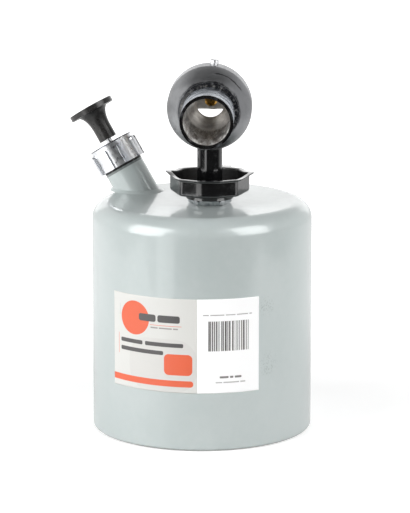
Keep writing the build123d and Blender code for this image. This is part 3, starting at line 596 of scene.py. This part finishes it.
class Print(Paint):
    """Paper with flat printed areas."""

    def __init__(self, name, paper, shade):
        super().__init__(name, ior=1.5, coat_weight=0.25, coat_roughness=0.18)
        self.u, self.v = self.split(self.scaled(self.source.outputs["UV"], UV_SPAN))[:2]
        fibre = self.noise(size=0.6, detail=3, roughness=0.65)
        self.colour = self.mix(self.math("MULTIPLY", fibre, 0.5), paper, shade)

    def past_edge(self, place, start, end, corner):
        """How far a place lies outside a span that is shortened by a corner's radius at both ends."""
        from_middle = self.apart(place, (start + end) / 2)
        return self.math("SUBTRACT", from_middle, (end - start) / 2 - corner)

    def area(self, left, low, right, high, corner=0.0):
        """1 inside a rectangle with rounded corners, 0 outside."""
        across, up = self.past_edge(self.u, left, right, corner), self.past_edge(self.v, low, high, corner)
        past_both = [self.math("MAXIMUM", past, 0.0) for past in (across, up)]
        outside = self.vector("LENGTH", self.add("ShaderNodeCombineXYZ", *past_both).outputs[0])
        painted_lit_bore = self.math("MINIMUM", self.math("MAXIMUM", across, up), 0.0)
        return self.below(self.math("ADD", outside, painted_lit_bore), corner - PRINT_SOFT, corner + PRINT_SOFT)

    def words(self, left, low, height, lengths, gap, ink):
        """A line of plain rounded bars, where small print would be."""
        for length in lengths:
            self.lay(self.area(left, low, left + length, low + height, height * WORD_CORNER_SHARE), ink)
            left += length + gap

    def printed(self):
        """The material, once everything is laid."""
        self.bump(self.noise(size=14), depth=0.05)
        self.bump(self.noise(size=0.7, detail=3), depth=0.008)
        return self.finish(self.noise(size=4, detail=3), least=0.34, most=0.46)


def label_grey():
    """A disc, a box, rules and bars on grey paper with a faint round tint."""
    paint = Print("main_label_print", tone(213, 213, 209), tone(203, 202, 199))
    paint.lay(paint.area(*MAIN_TINT), tone(196, 193, 190), strength=0.35)
    for *area, ink in MAIN_AREAS:
        paint.lay(paint.area(*area), ink)
    for words in MAIN_WORDS:
        paint.words(*words)
    return paint.printed()


def label_white():
    """A field of bars of random width, and three lines of small bars, on white paper."""
    paint = Print("side_label_print", tone(250, 250, 250), tone(244, 244, 244))
    bar = paint.math("DIVIDE", paint.u, BAR_PITCH)
    chance = paint.add("ShaderNodeTexWhiteNoise", noise_dimensions="1D")
    paint.feed(chance.inputs["W"], paint.math("FLOOR", bar))
    width = paint.level(chance.outputs["Value"], 0, 1, *BAR_SHARES, way="LINEAR")
    past_bar = paint.math("SUBTRACT", paint.math("FRACT", bar), width)
    stripes = paint.below(past_bar, -BAR_SOFT_SHARE, BAR_SOFT_SHARE)
    paint.lay(paint.both(stripes, paint.area(*BAR_FIELD)), tone(62, 57, 55))
    for words in SIDE_WORDS:
        paint.words(*words)
    return paint.printed()


# One finish for each material slot of the record, and two nodes with one of their own

METALS = {  # dark and light tone, least and most roughness; pale_zinc is the shroud screw's alone
    "zinc_steel": (tone(150, 152, 154), tone(196, 198, 200), 0.25, 0.39),
    "bright_steel": (tone(186, 187, 190), tone(220, 221, 223), 0.12, 0.22),
    "brass": (tone(150, 108, 44), tone(200, 156, 80), 0.16, 0.30),
    "copper": (tone(168, 98, 68), tone(204, 134, 98), 0.24, 0.40),
    "pale_zinc": (tone(226, 227, 229), tone(242, 243, 244), 0.42, 0.56),
}
PLASTICS = {  # dark and light tone, least roughness, and the grain's size and depth
    "black_plastic": (tone(38, 37, 37), tone(44, 43, 42), 0.27, 0.9, 0.0015),
    "grip_plastic": (tone(22, 22, 23), tone(32, 32, 33), 0.38, 0.6, 0.05),
    "rubber": (tone(24, 24, 24), tone(36, 36, 36), 0.55, 0.5, 0.03),
}
SPECIAL = (
    tank_paint, cup_enamel, tube_steel, bell_steel, casting, cap_aluminium, leather, graphite, cotton,
    label_grey, label_white,
)
finishes = {name: plain_metal(name, *look) for name, look in METALS.items()}
finishes.update({name: plastic(name, *look) for name, look in PLASTICS.items()})
finishes.update({make.__name__: make() for make in SPECIAL})
own_finishes = {"stem_boss": hammered_zinc(), "shroud_screw": finishes["pale_zinc"]}


# CAD nodes: one material each, and normals that run smoothly over the joins between their faces

WELD = 0.002 * MM  # vertices nearer than this are one
SHARP_DEGREES = 32
LARGE_FACES = 100  # the most that large faces can count for in the normals
EQUAL_FACES = 0.01  # and how near in weight two faces count the same


def smooth_over(piece):
    """Merges the vertices of neighbouring faces for shading, and keeps the edges sharper than an angle."""
    mesh = piece.data
    if mesh.attributes.get("custom_normal"):
        mesh.attributes.remove(mesh.attributes["custom_normal"])
    points = np.zeros(len(mesh.vertices) * 3)
    mesh.vertices.foreach_get("co", points)
    keys = [tuple(row) for row in np.round(points.reshape(-1, 3) / WELD).astype(int)]
    meets = {}  # the normals of the faces that meet at an edge, by its two places
    for face in mesh.polygons:
        for a, b in face.edge_keys:
            meets.setdefault(tuple(sorted((keys[a], keys[b]))), []).append(face.normal)
    limit = math.cos(math.radians(SHARP_DEGREES))
    for edge in mesh.edges:
        normals = meets[tuple(sorted((keys[edge.vertices[0]], keys[edge.vertices[1]])))]
        edge.use_edge_sharp = any(n.dot(normals[0]) < limit for n in normals[1:])
    mesh.polygons.foreach_set("use_smooth", [True] * len(mesh.polygons))
    weld = piece.modifiers.new("weld", "WELD")
    weld.merge_threshold = WELD
    even = piece.modifiers.new("even", "WEIGHTED_NORMAL")
    even.keep_sharp = True
    even.weight = LARGE_FACES
    even.thresh = EQUAL_FACES


for name, node in frame["nodes"].items():
    node.data.materials.clear()
    node.data.materials.append(own_finishes.get(name, finishes[slots[name]]))
    smooth_over(node)


# New pieces, each in place of one CAD node


def add_piece(name, mesh, node):
    """Shows a mesh in place of a CAD node, with the node's body, slot and finish."""
    slot = slots[node]
    body, = body_of(frame["nodes"][node])
    piece = bpy.data.objects.new(name, mesh)
    bpy.context.scene.collection.objects.link(piece)
    mesh.materials.append(finishes[slot])
    mesh.polygons.foreach_set("use_smooth", [True] * len(mesh.polygons))
    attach(piece, body)
    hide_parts(node)
    return piece


def to_mesh(bm, name):
    """A mesh from a finished bmesh, which is freed."""
    mesh = bpy.data.meshes.new(name)
    bm.to_mesh(mesh)
    bm.free()
    return mesh


# The paper stickers, whose faces are slightly uneven and whose corners lift a hair

PAPER_FACE, PAPER_BACK = 0.16, 0.03  # how far the two sides stand out of the wall
PAPER_CELL = 2 / 3  # the size of one square of the mesh
UNEVEN, UNEVEN_SIZE = 0.04, 7  # the height and the size of the face's waves
CORNER_LIFT, CORNER_REACH = 0.05, 5  # how far the corners lift, and from how far inside
EDGE_DROP, EDGE_REACH = 0.05, 0.4  # how far the edges are rounded off, and from how far inside


def wall_point(start, high, out):
    """A point by its length round the tank's wall from the front, its height and how far it stands out."""
    turn = start / TANK_RADIUS
    reach = TANK_RADIUS + out
    return Vector((math.sin(turn) * reach, -math.cos(turn) * reach, high)) * MM


def paper_lift(u, v, width, height, seed):
    """How far the paper's face stands above its plain thickness."""
    edge = min(u, width - u, v, height - v)
    corner = math.hypot(min(u, width - u), min(v, height - v))
    uneven = noise.noise(Vector((u / UNEVEN_SIZE, v / UNEVEN_SIZE, seed))) * 0.5 + 0.5
    lifted = CORNER_LIFT * max(0.0, 1 - corner / CORNER_REACH) ** 2
    return UNEVEN * uneven + lifted - EDGE_DROP * max(0.0, 1 - edge / EDGE_REACH)


def make_sticker(name, node, seed):
    """A sticker where the CAD label lies: two sheets of squares, joined round the rim."""
    low, high = box(node)
    points = [vertex.co for vertex in frame["nodes"][node].data.vertices]
    ways = [math.atan2(point.x, -point.y) * TANK_RADIUS for point in points]
    start, width, height = min(ways), max(ways) - min(ways), high.z - low.z
    across, up = round(width / PAPER_CELL), round(height / PAPER_CELL)
    bm = bmesh.new()
    flat = bm.loops.layers.uv.new("flat")
    faces, backs = {}, {}
    for i in range(across + 1):
        for j in range(up + 1):
            u, v = width * i / across, height * j / up
            face_out = PAPER_FACE + paper_lift(u, v, width, height, seed)
            faces[i, j] = bm.verts.new(wall_point(start + u, low.z + v, face_out))
            backs[i, j] = bm.verts.new(wall_point(start + u, low.z + v, PAPER_BACK))

    def quad(corners, places):
        face = bm.faces.new(corners)
        for loop, (i, j) in zip(face.loops, places):
            loop[flat].uv = (width * i / across / UV_SPAN, height * j / up / UV_SPAN)

    for i in range(across):
        for j in range(up):
            ring = [(i, j), (i + 1, j), (i + 1, j + 1), (i, j + 1)]
            quad([faces[p] for p in ring], ring)
            quad([backs[p] for p in reversed(ring)], list(reversed(ring)))
    rim = [(i, 0) for i in range(across)] + [(across, j) for j in range(up)]
    rim += [(i, up) for i in range(across, 0, -1)] + [(0, j) for j in range(up, 0, -1)]
    for here, there in zip(rim, rim[1:] + rim[:1]):
        quad([backs[here], backs[there], faces[there], faces[here]], [here, there, there, here])
    add_piece(name, to_mesh(bm, name), node)


make_sticker("main_sticker", "main_label", seed=3.1)
make_sticker("side_sticker", "side_label", seed=8.7)


# The check valve's spring: a copy of its CAD mesh, which keeps its length


def make_spring():
    node = frame["nodes"]["valve_spring"]
    mesh = node.data.copy()
    mesh.materials.clear()
    coil = add_piece("spring_coil", mesh, "valve_spring")
    smooth_over(coil)
    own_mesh(coil)


make_spring()


# The preheating cup, pressed from sheet: its lip rises at both sides and its edges are soft

CUP_HOLE = 8.2  # radius
CUP_SHEET = 0.8
CUP_OUTSIDE = (  # the sheet's section from the hole out and over the lip: radius to a corner, and height
    (CUP_HOLE, 0.0), (14.0, 0.0), (24.6, 2.1), (25.4, 3.0),
    (25.4, 12.3), (28.3, 13.0), (28.3, 13.75), (24.9, 13.45),
)
CUP_INSIDE = (  # and back to the hole
    (24.5, 12.6), (24.5, 3.4), (23.9, 2.9), (13.8, CUP_SHEET), (CUP_HOLE, CUP_SHEET),
)
CUP_BEND, BEND_STEPS = 0.7, 4  # the rounding of the section's corners, and the steps in it
BEND_SHARE = 0.45  # of a side of the section, the most that a rounding takes
CUP_SIDES = 8
CUP_STEPS = 192  # round the cup
CUP_CORNER = 3.6  # the rounding of its eight corners
CUP_FRONT_CORNER = 21.0  # the same, for the corners at the front and back, which are nearly worn away
ROUND_SPAN = (CUP_HOLE, 20.2)  # radii: the sheet is round at the one and eight-sided from the other on
BEND_SPAN = (CUP_SHEET, 3.4)  # heights of the bend from floor to wall, over which the wall's rise grows
WALL_SPAN = (3.4, 12.4)  # heights over which the lip's own rise grows
WALL_RISE = (1.3, 1.2)  # at the left and right corners
LIP_RISE = (0.5, 0.0)  # what the lip rises there beyond the wall
RISE_SPREAD = 0.36  # radians from a corner
WALL_SINK = 0.35  # how far the wall lies lower all round
WAVE = 0.18  # how far the wall waves up and down, by a noise
WAVE_REACH, WAVE_SEED = 2.2, 4.4  # the radius and the height of the circle read from that noise


def share_of(value, span):
    """How far a value is through a span, from 0 to 1."""
    low, high = span
    return min(1, max(0, (value - low) / (high - low)))


def cup_reach(radius, turn):
    """The eight-sided outline's reach at an angle, with its corners rounded; one of them points right."""
    step = 2 * math.pi / CUP_SIDES
    apothem = radius * math.cos(step / 2)
    nearest = round(turn / step)
    at_front_or_back = nearest % (CUP_SIDES // 2) == CUP_SIDES // 4
    rounding = CUP_FRONT_CORNER if at_front_or_back else CUP_CORNER
    past = abs(turn - nearest * step)
    # Away from the corner the outline is a straight side, and near it an arc about a middle
    if apothem * math.tan(step / 2 - past) <= (apothem - rounding) * math.tan(step / 2):
        return apothem / math.cos(step / 2 - past)
    middle = (apothem - rounding) / math.cos(step / 2)
    return middle * math.cos(past) + math.sqrt(rounding**2 - (middle * math.sin(past)) ** 2)


def soften(points):
    """A closed outline with its corners rounded."""
    result = []
    for before, here, after in zip(points[-1:] + points[:-1], points, points[1:] + points[:1]):
        here, before, after = Vector(here), Vector(before), Vector(after)
        back, forth = before - here, after - here
        cut = min(CUP_BEND, back.length * BEND_SHARE, forth.length * BEND_SHARE)
        start, end = here + back.normalized() * cut, here + forth.normalized() * cut
        for k in range(BEND_STEPS + 1):
            t = k / BEND_STEPS
            result.append(start * (1 - t) ** 2 + here * 2 * t * (1 - t) + end * t**2)
    return result


def tip_rise(turn, left, right):
    """How far the cup's sheet rises near its left and right corners."""
    to_right = math.atan2(math.sin(turn), math.cos(turn))
    to_left = math.atan2(math.sin(turn - math.pi), math.cos(turn - math.pi))
    near_left, near_right = [math.exp(-((way / RISE_SPREAD) ** 2)) for way in (to_left, to_right)]
    return left * near_left + right * near_right


def cup_point(radius, high, turn):
    """A point of the cup's sheet, by its place in the section and its turn."""
    reach = radius + (cup_reach(radius, turn) - radius) * share_of(radius, ROUND_SPAN)
    wall, lip = share_of(high, BEND_SPAN), share_of(high, WALL_SPAN)
    rise = tip_rise(turn, *WALL_RISE) * wall + tip_rise(turn, *LIP_RISE) * lip - WALL_SINK * wall
    around = Vector((math.cos(turn), math.sin(turn), 0))
    wave = noise.noise(around * WAVE_REACH + Vector((0, 0, WAVE_SEED))) * WAVE * wall
    return (CUP_PLACE + around * reach + Vector((0, 0, high + rise + wave))) * MM


def make_cup():
    """Rings round the stem through one softened section of the sheet, sooty on its inner side."""
    outline = soften(CUP_OUTSIDE + CUP_INSIDE)
    outer_points = len(CUP_OUTSIDE) * (BEND_STEPS + 1)
    bm = bmesh.new()
    rings = []
    for i in range(CUP_STEPS):
        turn = 2 * math.pi * i / CUP_STEPS
        rings.append([bm.verts.new(cup_point(radius, high, turn)) for radius, high in outline])
    for here, there in zip(rings, rings[1:] + rings[:1]):
        for j in range(len(outline)):
            k = (j + 1) % len(outline)
            face = bm.faces.new((here[j], there[j], there[k], here[k]))
            face.material_index = int(j >= outer_points)
    bmesh.ops.recalc_face_normals(bm, faces=bm.faces)
    cup = add_piece("pressed_cup", to_mesh(bm, "pressed_cup"), "preheat_cup")
    cup.data.materials.append(sooty_black())


make_cup()


# The stage: a white backdrop, a pale floor and four soft lamps. Its sizes are in metres.

BACKDROP, ROOM = 1.0, 0.06  # the world's light from behind the object and from the camera's side
BACKDROP_SPAN = (1.20, 1.72)  # radians from straight behind, over which the one gives way to the other
OVERHEAD_SHARE = 0.14  # of that light, what comes from above
OVERHEAD_SPAN = (0.36, 0.86)  # sines of the height between which it falls to that share

FLOOR_EDGE = -0.34  # where the floor ends in front of the object
FLOOR_HALF_WIDTH = 0.60
FLOOR_HALF_DEPTH = 3.5
FLOOR_DROP = 0.0002  # below the foot
FLOOR_GLOW = (0.50, 1.0)  # what is added to the floor's light, near the object and far from it
GLOW_SPAN = (110, 420)  # millimetres from the object's middle
MIRRORED_GLOW = 0.6  # the share of the floor's white that shows in shiny surfaces

LAMP_AIM = Vector((0, 0, 0.12))
LAMPS = {  # azimuth and elevation in degrees, distance, width and height, and power in watts
    "lamp_left": (-57, 20, 1.05, 0.78, 0.93, 13.2),
    "lamp_right": (57, 26, 1.05, 0.68, 0.85, 9.7),
    "lamp_low": (-35.5, -9, 1.05, 0.33, 0.26, 0.5),
    "lamp_back": (180, 11, 1.80, 2.00, 0.70, 4),
}


def make_world():
    """A white backdrop behind the object, less light from above, and a dark room in front."""
    world = bpy.data.worlds.new("studio")
    bpy.context.scene.world = world
    world.use_nodes = True
    wires = Wiring(world.node_tree)
    x, y, z = wires.split(wires.add("ShaderNodeTexCoord").outputs["Generated"])
    aside = wires.math("ABSOLUTE", wires.math("ARCTAN2", x, y))
    rear = wires.level(aside, *BACKDROP_SPAN, BACKDROP, ROOM)
    above = wires.level(z, *OVERHEAD_SPAN, 1.0, OVERHEAD_SHARE)
    room = wires.add("ShaderNodeBackground")
    wires.feed(room.inputs["Strength"], wires.math("MULTIPLY", rear, above))
    white = wires.add("ShaderNodeBackground", (1, 1, 1, 1))
    seen = wires.add("ShaderNodeLightPath").outputs["Is Camera Ray"]
    wires.add("ShaderNodeOutputWorld", wires.choose(seen, room.outputs[0], white.outputs[0]))


def floor_paint():
    """Pale grey, with white added for the camera and, less, for shiny surfaces."""
    paint = Paint("floor")
    paint.colour = paint.mix(paint.noise(size=60, detail=2), tone(214, 214, 214), tone(220, 220, 220))
    paint.bump(paint.noise(size=3), depth=0.02)
    glow = paint.add("ShaderNodeEmission")
    out = paint.away(Vector((0, 0, 1)), Vector())
    paint.feed(glow.inputs["Strength"], paint.level(out, *GLOW_SPAN, *FLOOR_GLOW))
    plain = paint.shader.outputs[0]
    glowing = paint.add("ShaderNodeAddShader", plain, glow.outputs[0]).outputs[0]
    ray = paint.add("ShaderNodeLightPath").outputs
    mirrored = paint.math("MULTIPLY", ray["Is Glossy Ray"], MIRRORED_GLOW)
    seen = paint.math("MAXIMUM", ray["Is Camera Ray"], mirrored)
    paint.feed(paint.output.inputs["Surface"], paint.choose(seen, plain, glowing))
    return paint.done(roughness=0.75)


def make_floor():
    bm = bmesh.new()
    bmesh.ops.create_grid(bm, x_segments=1, y_segments=1, size=1)
    for corner in bm.verts:
        corner.co.x *= FLOOR_HALF_WIDTH
        corner.co.y = FLOOR_EDGE + FLOOR_HALF_DEPTH * (1 + corner.co.y)
    mesh = to_mesh(bm, "floor")
    mesh.materials.append(floor_paint())
    floor = bpy.data.objects.new("floor", mesh)
    floor.location.z = -FLOOR_DROP
    bpy.context.scene.collection.objects.link(floor)


def make_lamp(name, azimuth, elevation, distance, wide, high, power):
    """A soft box that faces the object."""
    data = bpy.data.lights.new(name, "AREA")
    data.shape = "RECTANGLE"
    data.size, data.size_y = wide, high
    data.energy = power
    lamp = bpy.data.objects.new(name, data)
    lamp.visible_camera = False
    look_from(lamp, direction(azimuth, elevation), distance, LAMP_AIM)


make_world()
make_floor()
for name, place_and_power in LAMPS.items():
    make_lamp(name, *place_and_power)

bpy.context.scene.view_settings.view_transform = "Standard"
